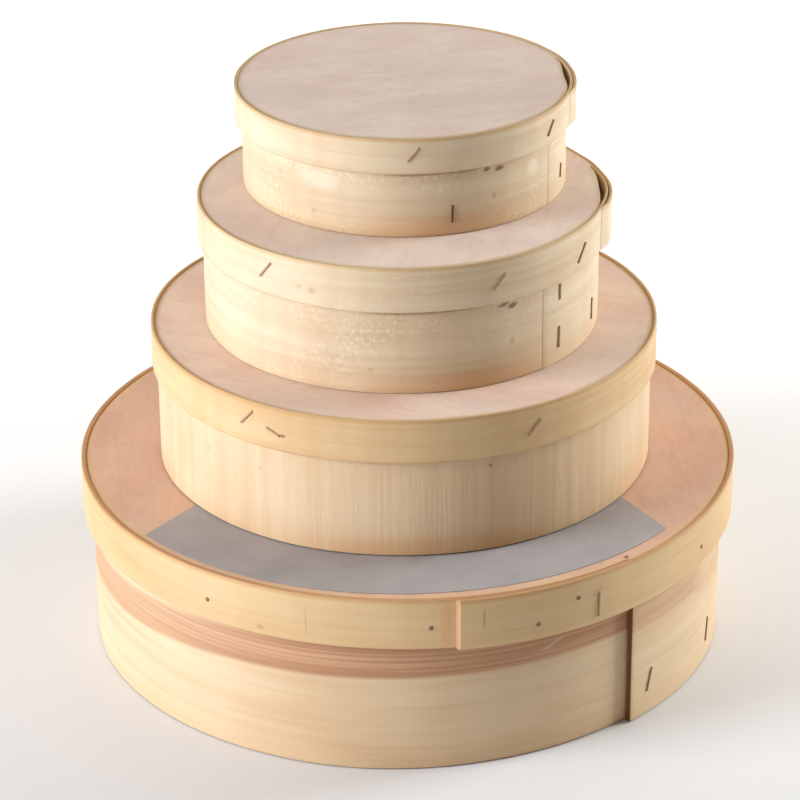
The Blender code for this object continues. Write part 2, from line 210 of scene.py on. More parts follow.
WIRE_WIDTH = 0.00115  # the staple wire is a little flattened
WIRE_THICKNESS = 0.00075
WIRE_BEND = 0.0007  # radius at the corners of a staple
PRESSED_IN = 0.00042  # how far a crown is driven into the wood's surface
WIRE_SIDES = 12  # of its cross-section
WIRE_SQUARENESS = 0.75  # of its cross-section: 1 is an ellipse, less is squarer
CROWN_DEPTH = 0.0011  # how far below its top a point still belongs to a staple's crown
CROWN_SAG = 0.00008  # how far the middle of a crown bows in

TACK_SIDES = 20
TACK_DOME = 0.0006  # height of a tack's head
TACK_SHANK = 0.45  # radius of its shank, as a share of the head's
TACK_OVAL = 0.04  # how far the head is out of round


def stray(box, co):
    """Where a point of a box goes once its hoops are a little out of true, like bent wood.

    It only ever goes inwards, so that the box never outgrows the CAD.
    """
    across = Vector((co.x - box.centre[0], co.y - box.centre[1], 0.0))
    reach = across.length
    if reach < 1e-6:
        return co
    across.normalize()
    seed = BOXES.index(box) * 7.3
    slow = noise.noise(Vector((across.x * 2.2 + seed, across.y * 2.2, co.z * 9.0)))
    quick = noise.noise(Vector((across.x * 6.5, across.y * 6.5 + seed, co.z * 22.0)))
    return co + across * WAVE * min(reach / 0.05, 1.0) * (slow + 0.35 * quick - 1.0)


def worn(co, seed):
    """How far a long edge is worn back at a point: slow waves and small dents."""
    slow = 0.5 + 0.5 * noise.noise(co * 28.0 + Vector((seed, 0.0, 0.0)))
    dents = noise.noise(co * 190.0 + Vector((0.0, seed, 0.0)))
    return RIM_WEAR * (slow + 0.55 * max(dents, 0.0))


# ---- objects ------------------------------------------------------------------------------------

def new_object(name, mesh, finish, node):
    """The finished piece in the scene: it rides on the body of the CAD node that it stands for."""
    made = bpy.data.objects.new(name, mesh)
    bpy.context.scene.collection.objects.link(made)
    made.data.materials.append(finish.material)
    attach(made, frame["nodes"][node]["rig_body"])
    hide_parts(node)
    return made


def mesh_from(name, points, faces, wood, edge, sharp=40.0, rim=None):
    """A mesh, smooth but for its sharp edges, with values at each point that the materials read.

    `wood` is the point's place in the flat piece of wood before bending: along the grain, across it,
    and depth. `edge` is 1 on cut edges and 0 on the faces. `rim`, on boards, is the distance to the edge.
    """
    mesh = bpy.data.meshes.new(name)
    mesh.from_pydata(points, [], faces)
    places = mesh.attributes.new("wood", "FLOAT_VECTOR", "POINT")
    places.data.foreach_set("vector", [value for place in wood for value in place])
    edges = mesh.attributes.new("edge", "FLOAT", "POINT")
    edges.data.foreach_set("value", edge)
    if rim:
        mesh.attributes.new("rim", "FLOAT", "POINT").data.foreach_set("value", rim)
    built = bmesh.new()
    built.from_mesh(mesh)
    bmesh.ops.recalc_face_normals(built, faces=built.faces)
    built.to_mesh(mesh)
    built.free()
    mesh.shade_smooth()
    mesh.set_sharp_from_angle(angle=math.radians(sharp))
    return mesh


# ---- strips -------------------------------------------------------------------------------------

def side_of_section(height, rounding):
    """One side of a strip's cross-section, from the foot to the head.

    Each point is its depth below the face, its height above the foot, and how much it is on a cut edge.
    """
    turns = [math.radians(angle) for angle in (90.0, 60.0, 30.0)]
    foot = [(rounding * (1.0 - math.cos(t)), rounding * (1.0 - math.sin(t)), math.sin(t)) for t in turns]
    rows = [(0.0, rounding + (height - 2.0 * rounding) * row / ROWS, 0.0) for row in range(ROWS + 1)]
    head = [(depth, height - up, edge) for depth, up, edge in reversed(foot)]
    return foot + rows + head


def end_inset(distance):
    """How much a strip's section shrinks near one of its ends, so that the end is rounded."""
    if distance >= END_ROUNDING:
        return 0.0
    return END_ROUNDING - math.sqrt(END_ROUNDING ** 2 - (END_ROUNDING - distance) ** 2)


def strip_mesh(name, box, strip, low, high, outer, inner, first, last, seed):
    """A strip from one place to another along a hoop, with rounded edges and ends."""
    degree = math.radians(1.0) * strip.radius
    near = [share * END_ROUNDING / degree for share in (0.0, 0.12, 0.45, 1.0)]
    near += [strip.skive / degree * share for share in (0.35, 0.7, 1.0)]
    count = round((last - first) / STEP)
    middle = [first + (last - first) * step / count for step in range(1, count)]
    places = [first + step for step in near]
    clear = near[-1] + STEP / 4
    places += [place for place in middle if first + clear < place < last - clear]
    places += [last - step for step in reversed(near)]

    points, wood, edge = [], [], []
    for place in places:
        thickness = outer(place) - inner(place)
        shrunk = end_inset(min(place - first, last - place) * degree)
        inset = min(shrunk, MOST_INSET * thickness)
        out, back = outer(place) - inset, inner(place) + inset
        rounding = min(ROUNDING, MOST_ROUNDING * (out - back))
        side = side_of_section(high - low - 2.0 * inset, rounding)
        faces = [(out - depth, up, cut) for depth, up, cut in side]
        faces += [(back + depth, up, cut) for depth, up, cut in reversed(side)]
        bevelled = strip.pared and strip.skive < END_BEVEL and (place - first) * degree < strip.skive
        cut_end = shrunk > CUT_FACE * END_ROUNDING and thickness > THIN_END
        at_end = 1.0 if bevelled or cut_end else 0.0
        for radius, up, cut in faces:
            co = box.point(radius, strip.start + place, low + inset + up)
            share = (co.z - low) / (high - low)
            co.z += worn(co, seed) * (1.0 - 2.0 * share)
            points.append(stray(box, co))
            wood.append((place * degree, co.z - low, radius - strip.radius))
            edge.append(max(cut, at_end))
    ring = len(points) // len(places)
    quads = []
    for station in range(len(places) - 1):
        for corner in range(ring):
            a = station * ring + corner
            b = station * ring + (corner + 1) % ring
            quads.append((a, b, b + ring, a + ring))
    for base in (0, len(points) - ring):
        for corner in range(ring // 2 - 1):
            a, b = base + corner, base + corner + 1
            quads.append((a, b, base + ring - 2 - corner, base + ring - 1 - corner))
    return mesh_from(name, points, quads, wood, edge)


def hoop(box, part, finish):
    """A body's or a lid's strip, from its outer end round to its inner one."""
    strip = box.strips[part]
    node = f"{box.name}_{part}_hoop"
    low, high = box.heights(f"{part}_hoop")
    if part == "body" and box is not LARGEST:
        low -= SETTLED
    name = f"{box.name}_{part}_strip"
    seed = low * SEED_PER_METRE
    mesh = strip_mesh(name, box, strip, low, high, strip.pared_outer, strip.inner, 0.0, strip.end, seed)
    return new_object(name, mesh, finish, node)


LINING_CLEAR_OF_LAP = 4.0  # degrees between either end of the lining and the lap
LINING = 0.0012  # its thickness


def lining(box, finish):
    """The thin strip inside the largest lid, which starts and ends clear of the lap."""
    strip = box.strips["lid"]
    low, high = box.heights("lid_lining")

    def outer(along):
        return strip.inner(along) - GAP

    def inner(along):
        return outer(along) - LINING

    first, last = strip.lap + LINING_CLEAR_OF_LAP, 360.0 - LINING_CLEAR_OF_LAP
    mesh = strip_mesh("lid_lining_strip", box, strip, low, high, outer, inner, first, last, LINING_SEED)
    return new_object("largest_lid_lining_strip", mesh, finish, f"{box.name}_lid_lining")


# ---- boards -------------------------------------------------------------------------------------

def warp_of(co, seed):
    """How far a lid board is warped up or down at a point."""
    return BOARD_WARP * noise.noise(Vector((co.x * 14.0, co.y * 14.0, seed * 50.0)))


def board(box, part, node, finish, grain):
    """A round board with eased edges and a slight warp. `grain` is the direction of its grain."""
    strip = box.strips[part]
    low, high = box.heights(node)
    turns = [math.radians(angle) for angle in (0.0, 30.0, 60.0, 90.0)]
    profile = [(share, 0.0, high, 0.0) for share in BOARD_RINGS]
    corner = [(BOARD_ROUNDING * (1.0 - math.sin(t)), BOARD_ROUNDING * (1.0 - math.cos(t)), math.sin(t))
              for t in turns]
    profile += [(1.0, inset, high - down, cut) for inset, down, cut in corner]
    profile += [(1.0, inset, low + up, cut) for inset, up, cut in reversed(corner)]
    profile += [(share, 0.0, low, 0.0) for share in reversed(BOARD_RINGS)]
    along = Vector((math.cos(math.radians(grain)), math.sin(math.radians(grain)), 0.0))
    across = Vector((-along.y, along.x, 0.0))
    points, wood, edge, rim = [], [], [], []

    def add(radius, azimuth, height, from_rim, cut):
        co = box.point(radius, azimuth, height)
        warp = warp_of(co, low) if part == "lid" else 0.0
        points.append(stray(box, co + Vector((0.0, 0.0, warp))))
        wood.append((co.dot(along), co.dot(across), co.z - low))
        edge.append(cut)
        rim.append(from_rim)

    for share, inset, height, cut in profile:
        for side in range(BOARD_SIDES):
            azimuth = 360.0 * side / BOARD_SIDES
            whole = strip.room(azimuth) - BOARD_GAP
            radius = (whole - inset) * share
            add(radius, azimuth, height, whole - radius, cut)
    for height in (high, low):
        add(0.0, 0.0, height, strip.radius, 0.0)
    quads = []
    for ring in range(len(profile) - 1):
        for side in range(BOARD_SIDES):
            a = ring * BOARD_SIDES + side
            b = ring * BOARD_SIDES + (side + 1) % BOARD_SIDES
            quads.append((a, b, b + BOARD_SIDES, a + BOARD_SIDES))
    for hub, ring in ((len(points) - 2, 0), (len(points) - 1, len(profile) - 1)):
        for side in range(BOARD_SIDES):
            a = ring * BOARD_SIDES + side
            b = ring * BOARD_SIDES + (side + 1) % BOARD_SIDES
            quads.append((hub, a, b))
    name = f"{box.name}_{node.replace('board', 'panel')}"
    mesh = mesh_from(name, points, quads, wood, edge, rim=rim)
    return new_object(name, mesh, finish, f"{box.name}_{node}")


# ---- staples and tacks --------------------------------------------------------------------------

def points_of(node):
    return [vert.co.copy() for vert in frame["nodes"][node].data.vertices]


def staple_place(box, node):
    """The place of a CAD staple: its frame (X along the crown, Z out of the wood), crown and legs."""
    cloud = points_of(node)
    axis = Vector((box.centre[0], box.centre[1], 0.0))

    def outwards(co):
        return Vector((co.x - axis.x, co.y - axis.y, 0.0)).normalized()

    out = outwards(sum(cloud, Vector()) / len(cloud))
    for _ in range(2):  # the second time from the crown alone
        top = max(co.dot(out) for co in cloud)
        crown = [co for co in cloud if co.dot(out) > top - CROWN_DEPTH]
        low = min(crown, key=lambda co: co.z)
        high = max(crown, key=lambda co: co.z)
        out = outwards((low + high) / 2.0)
    direction = (high - low) - out * (high - low).dot(out)
    length = direction.length
    direction.normalize()
    middle = (low + high) / 2.0
    middle += out * (top - middle.dot(out))
    legs = []
    for end in (-1.0, 1.0):
        near = [co for co in cloud if (co - middle).dot(direction) * end > 0.25 * length]
        legs.append(top - min(co.dot(out) for co in near))
    place = Matrix((direction, out.cross(direction), out)).transposed().to_4x4()
    return Matrix.Translation(middle) @ place, length, legs


def staple(box, node, finish):
    """A flattened wire bent twice, driven slightly into the wood."""
    place, length, legs = staple_place(box, node)
    half = (length - WIRE_WIDTH * 0.5) / 2.0
    path = [((-half, -legs[0]), -90.0), ((-half, -legs[0] * 0.5), -90.0)]
    bend = [math.radians(angle) for angle in (0.0, 22.5, 45.0, 67.5, 90.0)]
    corner = [(WIRE_BEND * (1.0 - math.cos(t)), -WIRE_BEND * (1.0 - math.sin(t)), math.degrees(t) - 90.0)
              for t in bend]
    path += [((-half + across, down), tilt) for across, down, tilt in corner]
    path += [((half * share, -CROWN_SAG * (1.0 - share * share)), 0.0) for share in (-0.5, 0.0, 0.5)]
    path += [((half - across, down), -tilt) for across, down, tilt in reversed(corner)]
    path += [((half, -legs[1] * 0.5), 90.0), ((half, -legs[1]), 90.0)]
    sides = WIRE_SIDES
    points, wood, edge = [], [], []
    travelled = 0.0
    for index, ((x, z), tilt) in enumerate(path):
        if index:
            travelled += math.dist(path[index - 1][0], (x, z))
        turn = math.radians(tilt)
        up = Vector((math.sin(turn), 0.0, math.cos(turn)))
        for side in range(sides):
            around = 2.0 * math.pi * side / sides
            flat = [math.copysign(abs(f) ** WIRE_SQUARENESS, f) for f in (math.cos(around), math.sin(around))]
            local = Vector((x, 0.0, z - PRESSED_IN)) + Vector((0.0, WIRE_WIDTH / 2.0 * flat[0], 0.0))
            local += up * WIRE_THICKNESS / 2.0 * (flat[1] - 1.0)
            points.append(stray(box, place @ local))
            wood.append((travelled, around * WIRE_WIDTH, legs[0]))
            edge.append(0.0)
    faces = [tuple(range(sides)), tuple(range(len(points) - sides, len(points)))]
    for ring in range(len(path) - 1):
        for side in range(sides):
            a = ring * sides + side
            b = ring * sides + (side + 1) % sides
            faces.append((a, b, b + sides, a + sides))
    name = node.replace("staple", "wire")
    return new_object(name, mesh_from(name, points, faces, wood, edge, 60.0), finish, node)


def tack(box, node, finish, upright=False):
    """A small nail with a low domed head, a little uneven, its head seated on the wood."""
    cloud = points_of(node)
    middle = sum(cloud, Vector()) / len(cloud)
    out = Vector((0.0, 0.0, 1.0)) if upright else Vector((middle.x, middle.y, 0.0)).normalized()
    along = [co.dot(out) for co in cloud]
    top, depth = max(along), max(along) - min(along)
    head = max(((co - middle) - out * (co - middle).dot(out)).length for co in cloud)
    facing = out.to_track_quat("Z", "Y").to_matrix().to_4x4()
    place = Matrix.Translation(middle + out * (top - middle.dot(out))) @ facing
    thick = TACK_DOME
    shank = head * TACK_SHANK
    turns = [math.radians(angle) for angle in (15.0, 35.0, 55.0, 75.0, 90.0)]
    profile = [(head * math.sin(t), thick * (math.cos(t) - 1.0)) for t in turns]
    profile += [(head * 0.93, -thick * 1.25), (shank, -thick * 1.3)]
    profile += [(shank, -depth + head * 0.5), (shank * 0.3, -depth)]
    points, wood, edge = [place @ Vector((0.0, 0.0, -GAP))], [(0.0, 0.0, top)], [0.0]
    for radius, height in profile:
        for side in range(TACK_SIDES):
            turn = 2.0 * math.pi * side / TACK_SIDES
            uneven = 1.0 + TACK_OVAL * math.sin(2.0 * turn + top * 900.0)
            local = Vector((radius * uneven * math.cos(turn), radius * math.sin(turn), height - GAP))
            points.append(stray(box, place @ local))
            wood.append((local.x, local.y, local.z))
            edge.append(0.0)
    points[0] = stray(box, points[0])
    faces = [(0, 1 + side, 1 + (side + 1) % TACK_SIDES) for side in range(TACK_SIDES)]
    for ring in range(len(profile) - 1):
        for side in range(TACK_SIDES):
            a = 1 + ring * TACK_SIDES + side
            b = 1 + ring * TACK_SIDES + (side + 1) % TACK_SIDES
            faces.append((a, b, b + TACK_SIDES, a + TACK_SIDES))
    faces.append(tuple(range(len(points) - TACK_SIDES, len(points))))
    name = node.replace("tack", "nail")
    return new_object(name, mesh_from(name, points, faces, wood, edge, 50.0), finish, node)


# ---- label --------------------------------------------------------------------------------------

LABEL_RADIUS = 0.1728  # of its front edge
LABEL_CENTRE = (-0.0025, 0.0014)  # of that edge: it was stuck on a little off centre
LABEL_SIDES_MEET = (0.0152, 0.1045)  # the point that both side edges aim at
LABEL_SIDES = (-36.0, 30.0)  # degrees from the front to its left and right edges, from that point
LABEL_BACK_RADIUS = 0.112  # of its back edge, which the box above covers
LABEL_SIDE_STEPS = 90  # faces from its left side to its right
LABEL_DEPTH_STEPS = 14  # and from front to back
LABEL_PAPER = 0.00022  # its thickness
LABEL_LIFT = 0.00005  # how far it lies off the board
LABEL_COCKLE = 0.0001  # how much further it rises where the glue has let go


def label(box, finish):
    """A blank sheet of paper, cockled a little where the glue has let go."""
    meet = Vector(LABEL_SIDES_MEET)
    low = box.heights("lid_label")[0]
    board_low = box.heights("lid_board")[0]

    def on_ray(centre, radius, angle):
        ray = Vector((math.sin(angle), -math.cos(angle)))
        to_centre = Vector(centre) - meet
        reach = to_centre.dot(ray)
        return meet + ray * (reach + math.sqrt(reach * reach - to_centre.length_squared + radius * radius))

    points, wood = [], []
    for layer in (LABEL_PAPER, 0.0):
        for step in range(LABEL_SIDE_STEPS + 1):
            share = step / LABEL_SIDE_STEPS
            angle = math.radians(LABEL_SIDES[0] + (LABEL_SIDES[1] - LABEL_SIDES[0]) * share)
            front = on_ray(LABEL_CENTRE, LABEL_RADIUS, angle)
            back = on_ray(box.centre, LABEL_BACK_RADIUS, angle)
            for row in range(LABEL_DEPTH_STEPS + 1):
                flat = front.lerp(back, row / LABEL_DEPTH_STEPS)
                cockle = 0.5 + 0.5 * noise.noise(Vector((flat.x * 30.0, flat.y * 30.0, 4.0)))
                in_front = 1.0 - row / LABEL_DEPTH_STEPS
                lift = LABEL_LIFT + LABEL_COCKLE * cockle * in_front
                height = low - GAP + warp_of(flat, board_low) + layer + lift
                points.append(Vector((flat.x, flat.y, height)))
                wood.append((flat.x, flat.y, layer))
    columns = LABEL_DEPTH_STEPS + 1
    sheet = columns * (LABEL_SIDE_STEPS + 1)
    faces = []
    for base in (0, sheet):
        for step in range(LABEL_SIDE_STEPS):
            for row in range(LABEL_DEPTH_STEPS):
                a = base + step * columns + row
                quad = (a, a + 1, a + 1 + columns, a + columns)
                faces.append(quad if base else quad[::-1])
    outline = list(range(columns))
    outline += [step * columns + columns - 1 for step in range(1, LABEL_SIDE_STEPS + 1)]
    outline += [LABEL_SIDE_STEPS * columns + row for row in range(columns - 2, -1, -1)]
    outline += [step * columns for step in range(LABEL_SIDE_STEPS - 1, 0, -1)]
    for a, b in zip(outline, outline[1:] + outline[:1]):
        faces.append((a, b, b + sheet, a + sheet))
    name = "largest_lid_label_paper"
    mesh = mesh_from(name, points, faces, wood, [0.0] * len(points), 30.0)
    return new_object(name, mesh, finish, f"{box.name}_lid_label")


# ---- materials ----------------------------------------------------------------------------------

def srgb(red, green, blue):
    """A colour as the eye names it, 0 to 255, made linear."""
    return (*[(value / 255.0) ** 2.2 for value in (red, green, blue)], 1.0)


class Finish:
    """A Principled material, with short names for the nodes that its pattern needs."""

    def __init__(self, name, slot, specular=0.5):
        self.slot = slot
        self.material = bpy.data.materials.new(name)
        self.material.use_nodes = True
        self.tree = self.material.node_tree
        self.shader = self.tree.nodes["Principled BSDF"]
        self.shader.inputs["Specular IOR Level"].default_value = specular

    def node(self, kind, inputs, **settings):
        made = self.tree.nodes.new("ShaderNode" + kind)
        for key, value in settings.items():
            setattr(made, key, value)
        for key, value in inputs.items():
            self.join(made.inputs[key], value)
        return made

    def join(self, socket, value):
        if isinstance(value, bpy.types.NodeSocket):
            self.tree.links.new(value, socket)
        else:
            socket.default_value = value

    def attribute(self, name, output):
        return self.node("Attribute", {}, attribute_name=name).outputs[output]

    def scaled(self, vector, x, y, z):
        """A vector in metres, stretched for a noise: the scales are roughly features in a metre."""
        return self.node("Mapping", {"Vector": vector, "Scale": (x, y, z)}).outputs[0]

    def noise(self, vector, detail=3.0, roughness=0.5, distortion=0.0):
        inputs = {"Vector": vector, "Scale": 1.0, "Detail": detail, "Roughness": roughness,
                  "Distortion": distortion}
        return self.node("TexNoise", inputs).outputs["Fac"]

    def fade(self, value, start, end):
        """0 at start, 1 at end, smooth between."""
        inputs = {"Value": value, "From Min": start, "From Max": end}
        return self.node("MapRange", inputs, interpolation_type="SMOOTHSTEP").outputs[0]

    def math(self, operation, a, b):
        return self.node("Math", {0: a, 1: b}, operation=operation).outputs[0]

    def mix(self, share, a, b, way="MIX"):
        made = self.node("Mix", {0: share, 6: a, 7: b}, data_type="RGBA", blend_type=way)
        return made.outputs[2]

    def bump(self, height, distance, under=None):
        inputs = {"Height": height, "Distance": distance, "Strength": 1.0}
        if under is not None:
            inputs["Normal"] = under
        return self.node("Bump", inputs).outputs[0]

    def finish(self, colour, roughness, normal):
        self.join(self.shader.inputs["Base Color"], colour)
        self.join(self.shader.inputs["Roughness"], roughness)
        self.join(self.shader.inputs["Normal"], normal)
        return self


def marks_on(finish, wood, colour, marks):
    """Adds soft oval marks to a wood's colour.

    Each mark is its place along and across the grain, its two half lengths, its turn in degrees, its
    strength and its colour.
    """
    ragged = finish.noise(finish.scaled(wood, 420.0, 420.0, 420.0), 2.0)
    for along, across, long, wide, turn, strength, tint in marks:
        inputs = {"Vector": wood, "Location": (along, across, 0.0), "Scale": (long, wide, 1.0),
                  "Rotation": (0.0, 0.0, math.radians(turn))}
        local = finish.node("Mapping", inputs, vector_type="TEXTURE").outputs[0]
        flat = finish.node("VectorMath", {0: local, 1: (1.0, 1.0, 0.0)}, operation="MULTIPLY").outputs[0]
        reach = finish.node("VectorMath", {0: flat}, operation="LENGTH").outputs[1]
        uneven = finish.math("ADD", reach, finish.math("MULTIPLY", ragged, 0.7))
        share = finish.math("MULTIPLY", finish.fade(uneven, 1.45, 0.75), strength)
        colour = finish.mix(share, colour, tint)
    return colour


def veneer(name, tall, pale, dark, warm, across_grain=False, mottled=0.0, marks=(), heartwood=None,
           edge=(214, 182, 138), top=0.0, foot=0.0, banded=0.14):
    """Peeled veneer: fine fibres along the strip, slow changes of tone, darker cut edges.

    `tall` is the strip's height, `mottled` the strength of a speckled figure, `heartwood` a band of
    redder wood from one height to another, `top` the strength of the painted shade along the strip's
    top, and `foot` that of the painted warm bounce light near a box's foot.
    """
    look = Finish(name, "strip_wood", specular=0.35)
    wood = look.attribute("wood", "Vector")
    on_edge = look.attribute("edge", "Fac")
    along, height, _ = look.node("SeparateXYZ", {0: wood}).outputs
    if across_grain:
        fibres = look.noise(look.scaled(wood, 1100.0, 22.0, 600.0), 3.0, 0.6)
        figure = look.noise(look.scaled(wood, 170.0, 4.0, 60.0), 4.0, 0.65, 0.2)
    else:
        fibres = look.noise(look.scaled(wood, 22.0, 1100.0, 600.0), 3.0, 0.6)
        figure = look.noise(look.scaled(wood, 4.0, 150.0, 60.0), 4.0, 0.6, 0.5)
    slow = look.noise(look.scaled(wood, 9.0, 16.0, 5.0), 2.0, 0.5)
    bands = look.noise(look.scaled(wood, 34.0, 1.5, 1.0), 2.0, 0.7)

    tone = look.math("ADD", look.math("MULTIPLY", figure, 0.45), look.math("MULTIPLY", slow, 0.5))
    colour = look.mix(look.fade(tone, 0.33, 0.71), srgb(*pale), srgb(*dark))
    colour = look.mix(look.math("MULTIPLY", look.fade(bands, 0.46, 0.62), banded), colour, srgb(*warm))
    colour = look.mix(look.math("MULTIPLY", look.fade(fibres, 0.50, 0.75), 0.16), colour, srgb(*warm))
    if heartwood:
        colour = heartwood_on(look, wood, along, height, colour, *heartwood)
    if mottled:
        colour = mottle_on(look, wood, colour, mottled)
    # Painted warm bounce light: the lowest 20 mm of a body are warmed and darkened as if lit by the board
    # below.
    if foot:
        painted_bounce_light = look.math("MULTIPLY", look.fade(height, 0.020, 0.002), foot)
        colour = look.mix(painted_bounce_light, colour, srgb(255, 226, 180), "MULTIPLY")
    # Painted shade: the top 3 mm of a lid strip, round the rim's shoulder, are darkened to an olive tan.
    if top:
        painted_shade = look.math("MULTIPLY", look.fade(height, tall - 0.0032, tall - 0.0006), top)
        colour = look.mix(painted_shade, colour, srgb(226, 198, 150), "MULTIPLY")
    colour = marks_on(look, wood, colour, marks)
    edge_grain = look.noise(look.scaled(wood, 900.0, 300.0, 2600.0), 2.0, 0.6)
    edge_colour = look.mix(edge_grain, srgb(*[value * 0.88 for value in edge]), srgb(*edge))
    colour = look.mix(look.fade(on_edge, 0.3, 1.0), colour, edge_colour)

    pores = look.noise(look.scaled(wood, 120.0, 2600.0, 900.0), 2.0, 0.5)
    roughness = look.math("ADD", 0.5, look.math("MULTIPLY", look.math("ADD", fibres, slow), 0.14))
    normal = look.bump(figure, 0.00020)
    normal = look.bump(look.math("ADD", fibres, look.math("MULTIPLY", pores, 0.5)), 0.00010, normal)
    return look.finish(colour, roughness, normal)


def heartwood_on(look, wood, along, height, colour, foot, head):
    """A band of redder heartwood with fine dark lines, its borders following the grain.

    It is strongest at the front, before the lap. Round the far side it dips and pales, and it is palest
    a little past the strip's outer end.
    """
    drift = look.noise(look.scaled(wood, 7.0, 20.0, 1.0), 2.0)
    far = look.math("MULTIPLY", look.fade(along, 0.925, 0.745), look.fade(along, 0.055, 0.075))
    level = look.math("ADD", height, look.math("MULTIPLY", look.math("SUBTRACT", drift, 0.5), 0.005))
    level = look.math("ADD", level, look.math("MULTIPLY", far, 0.0085))
    inside = look.math("MULTIPLY", look.fade(level, foot - 0.0018, foot + 0.0016),
                       look.fade(level, head + 0.003, head - 0.004))
    lines = look.noise(look.scaled(wood, 5.0, 620.0, 30.0), 3.0, 0.6, 0.25)
    clusters = look.noise(look.scaled(wood, 3.0, 130.0, 20.0), 2.0, 0.5)
    lined = look.math("ADD", look.math("MULTIPLY", lines, 0.6), look.math("MULTIPLY", clusters, 0.4))
    red = look.mix(look.fade(lined, 0.38, 0.60), srgb(208, 158, 120), srgb(178, 122, 86))
    past_lap = look.fade(along, 0.25, 0.10)
    strength = look.math("SUBTRACT", 0.86, look.math("MULTIPLY", far, 0.30))
    strength = look.math("SUBTRACT", strength, look.math("MULTIPLY", past_lap, 0.42))
    return look.mix(look.math("MULTIPLY", inside, strength), colour, red)


def mottle_on(look, wood, colour, strength):
    """Small pale and reddish flecks, thick in some places and missing in others."""
    cells = look.noise(look.scaled(wood, 430.0, 380.0, 100.0), 3.0, 0.62)
    patches = look.fade(look.noise(look.scaled(wood, 22.0, 40.0, 3.0), 2.0), 0.45, 0.68)
    light = look.math("MULTIPLY", look.math("MULTIPLY", look.fade(cells, 0.50, 0.66), patches), strength)
    deep = look.math("MULTIPLY", look.math("MULTIPLY", look.fade(cells, 0.44, 0.30), patches), strength)
    colour = look.mix(light, colour, srgb(250, 236, 210))
    return look.mix(deep, colour, srgb(208, 158, 122))


def board_wood(name, pale, pink, grey, ring, ring_width=0.0035):
    """A planed board: slow blotches of pink and grey over a fine straight grain, and a ring of painted shade
    along its rim, in the corner against its strip.
    """
    look = Finish(name, "board_wood", specular=0.3)
    wood = look.attribute("wood", "Vector")
    on_edge = look.attribute("edge", "Fac")
    from_rim = look.attribute("rim", "Fac")
    grain = look.noise(look.scaled(wood, 5.0, 170.0, 60.0), 4.0, 0.62, 0.4)
    fibres = look.noise(look.scaled(wood, 40.0, 1500.0, 500.0), 3.0, 0.6)
    blotches = look.noise(look.scaled(wood, 20.0, 34.0, 10.0), 3.0, 0.55)
    cloud = look.noise(look.scaled(wood, 11.0, 26.0, 10.0), 2.0, 0.5)
    flecks = look.noise(look.scaled(wood, 170.0, 260.0, 50.0), 2.0, 0.5)
    colour = look.mix(look.fade(blotches, 0.36, 0.66), srgb(*pale), srgb(*pink))
    colour = look.mix(look.math("MULTIPLY", look.fade(cloud, 0.45, 0.70), 0.55), colour, srgb(*grey))
    deep, deeper = srgb(*[v * 0.90 for v in pink]), srgb(*[v * 0.84 for v in pink])
    colour = look.mix(look.math("MULTIPLY", look.fade(grain, 0.46, 0.70), 0.20), colour, deep)
    colour = look.mix(look.math("MULTIPLY", look.fade(flecks, 0.52, 0.70), 0.16), colour, deeper)
    colour = look.mix(look.math("MULTIPLY", look.fade(fibres, 0.52, 0.74), 0.12), colour, deeper)
    # Painted shade: a ragged darker ring along the board's rim, in the corner where it meets its strip.
    ragged = look.math("ADD", from_rim, look.math("MULTIPLY", look.math("SUBTRACT", blotches, 0.5), 0.004))
    painted_shade = look.math("MULTIPLY", look.fade(ragged, ring_width, 0.0), 0.75)
    colour = look.mix(painted_shade, colour, srgb(*ring))
    colour = look.mix(look.math("MULTIPLY", on_edge, 0.6), colour, srgb(168, 128, 92))
    roughness = look.math("ADD", 0.56, look.math("MULTIPLY", fibres, 0.2))
    normal = look.bump(grain, 0.00015)
    normal = look.bump(fibres, 0.00008, normal)
    return look.finish(colour, roughness, normal)


def paper(name):
    """Grey label paper: soft fibres and a faint cloudiness."""
    look = Finish(name, "label_paper", specular=0.25)
    place = look.attribute("wood", "Vector")
    fibres = look.noise(look.scaled(place, 1400.0, 1400.0, 400.0), 4.0, 0.7)
    cloud = look.noise(look.scaled(place, 45.0, 45.0, 10.0), 3.0, 0.55)
    colour = look.mix(look.fade(cloud, 0.34, 0.68), srgb(165, 158, 155), srgb(172, 165, 162))
    colour = look.mix(look.math("MULTIPLY", look.fade(fibres, 0.5, 0.75), 0.2), colour, srgb(145, 138, 134))
    roughness = look.math("ADD", 0.72, look.math("MULTIPLY", fibres, 0.2))
    return look.finish(colour, roughness, look.bump(fibres, 0.00005))


def steel(name, slot, bright, rust, spread):
    """Dull, oxidised wire with rust where its plating has gone. `spread` is how much of it has."""
    look = Finish(name, slot, specular=0.4)
    place = look.attribute("wood", "Vector")
    patches = look.noise(look.scaled(place, 500.0, 900.0, 100.0), 4.0, 0.7)
    rusted = look.fade(patches, 0.62 - spread, 0.66 - spread * 0.5)
    grit = look.noise(look.scaled(place, 3000.0, 6000.0, 900.0), 2.0, 0.6)
    colour = look.mix(rusted, srgb(*bright), srgb(*rust))
    colour = look.mix(look.math("MULTIPLY", grit, 0.4), colour, srgb(*[value * 0.8 for value in rust]))
    roughness = look.math("ADD", 0.38, look.math("MULTIPLY", rusted, 0.4))
    return look.finish(colour, roughness, look.bump(grit, 0.00004))


def mark_at(box, part, azimuth, height, long, wide, turn, strength, tint):
    """A mark given by its azimuth and its height in the row frame."""
    strip = box.strips[part]
    low = box.heights(f"{part}_hoop")[0]
    along = math.radians((azimuth - strip.start) % 360.0) * strip.radius
    return along, height - low, long, wide, turn, strength, srgb(*tint)


# ---- build --------------------------------------------------------------------------------------

SMUDGE = (132, 84, 62)
KNOT = (176, 118, 88)
GREY_SPOT = (170, 150, 128)
